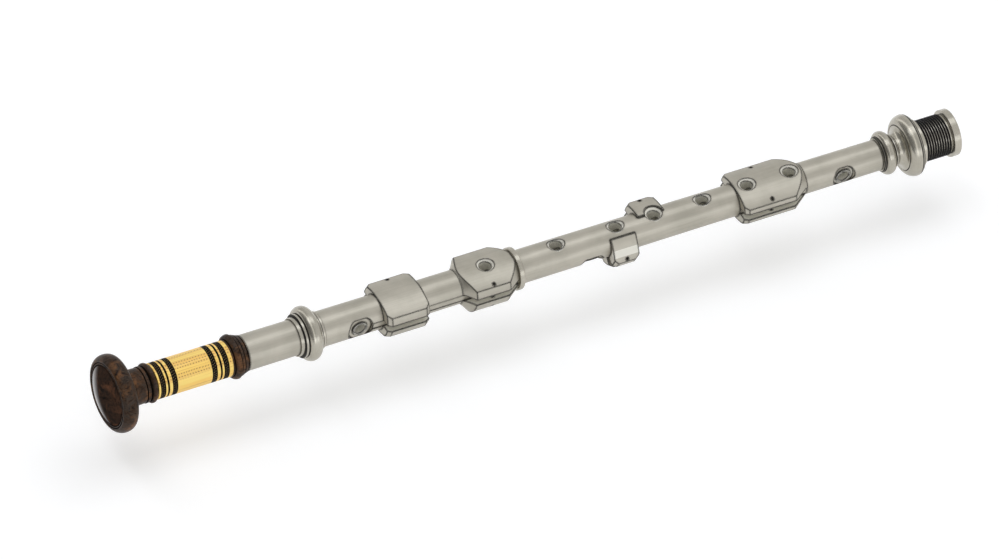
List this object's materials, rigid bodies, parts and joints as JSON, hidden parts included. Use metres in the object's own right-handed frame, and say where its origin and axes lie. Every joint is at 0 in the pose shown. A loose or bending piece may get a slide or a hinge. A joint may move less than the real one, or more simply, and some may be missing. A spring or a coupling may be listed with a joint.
{
  "type": "smallpipes chanter",
  "caption": "Slender pipe with finger holes, slotted key blocks, pad seats, turned rings, a lapped stock tenon with a reed, an inlaid foot sleeve and a domed foot cap.",
  "frame": {"origin": "centre of the stock tenon's shoulder, where the bell's back face meets the tenon, on the bore's axis", "axes": "+X along the bore from the foot to the reed; +Z out of the finger holes; the front keys lie on -Y"},
  "size_m": [0.3283, 0.028, 0.028],
  "materials": {
    "pipe_satin": "satin warm grey, turned and milled",
    "waxed_thread": "black waxed thread",
    "boxwood": "oiled golden wood with brown streaks along the grain",
    "dark_wood": "polished dark red-brown wood",
    "burl_wood": "polished burl",
    "black_inlay": "black inlay with fine combed lines",
    "staple_brass": "drawn",
    "cane": "scraped cane",
    "binding_thread": "waxed dark red thread"
  },
  "bodies": {
    "upper_section": {"upper_body": "pipe_satin", "top_bead": "pipe_satin", "head_mount": "pipe_satin", "tenon_lapping": "waxed_thread"},
    "mid_joint_thread": {"mid_lapping": "waxed_thread"},
    "lower_section": {"lower_body": "pipe_satin", "socket_collar": "pipe_satin", "lower_bead": "pipe_satin"},
    "foot_joint_thread": {"foot_lapping": "waxed_thread"},
    "sleeve": {"foot_sleeve": "boxwood", "sleeve_ferrule": "dark_wood", "inlay_band_1": "black_inlay", "inlay_band_2": "black_inlay", "inlay_band_3": "black_inlay", "inlay_band_4": "black_inlay", "inlay_band_5": "black_inlay", "inlay_band_6": "black_inlay"},
    "cap_joint_thread": {"cap_lapping": "waxed_thread"},
    "cap": {"foot_cap": "dark_wood", "cap_dome": "burl_wood"},
    "reed": {"reed_staple": "staple_brass", "reed_blade_upper": "cane", "reed_blade_lower": "cane", "reed_binding": "binding_thread", "reed_bridle": "staple_brass"}
  },
  "joints": [
    {"name": "mid_joint_turn", "type": "hinge", "parent": "upper_section", "child": "mid_joint_thread", "pos_m": [-0.1531, 0, 0], "axis": [1, 0, 0], "continuous": true},
    {"name": "mid_joint_pull", "type": "slide", "parent": "mid_joint_thread", "child": "lower_section", "axis": [-1, 0, 0], "range_m": [0, 0.012]},
    {"name": "foot_joint_turn", "type": "hinge", "parent": "lower_section", "child": "foot_joint_thread", "pos_m": [-0.2589, 0, 0], "axis": [1, 0, 0], "continuous": true},
    {"name": "foot_joint_pull", "type": "slide", "parent": "foot_joint_thread", "child": "sleeve", "axis": [-1, 0, 0], "range_m": [0, 0.015]},
    {"name": "cap_pull", "type": "slide", "parent": "sleeve", "child": "cap_joint_thread", "axis": [-1, 0, 0], "range_m": [0, 0.013]},
    {"name": "cap_turn", "type": "hinge", "parent": "cap_joint_thread", "child": "cap", "pos_m": [-0.294, 0, 0], "axis": [1, 0, 0], "continuous": true},
    {"name": "reed_pull", "type": "slide", "parent": "upper_section", "child": "reed", "axis": [1, 0, 0], "range_m": [0, 0.034]}
  ]
}
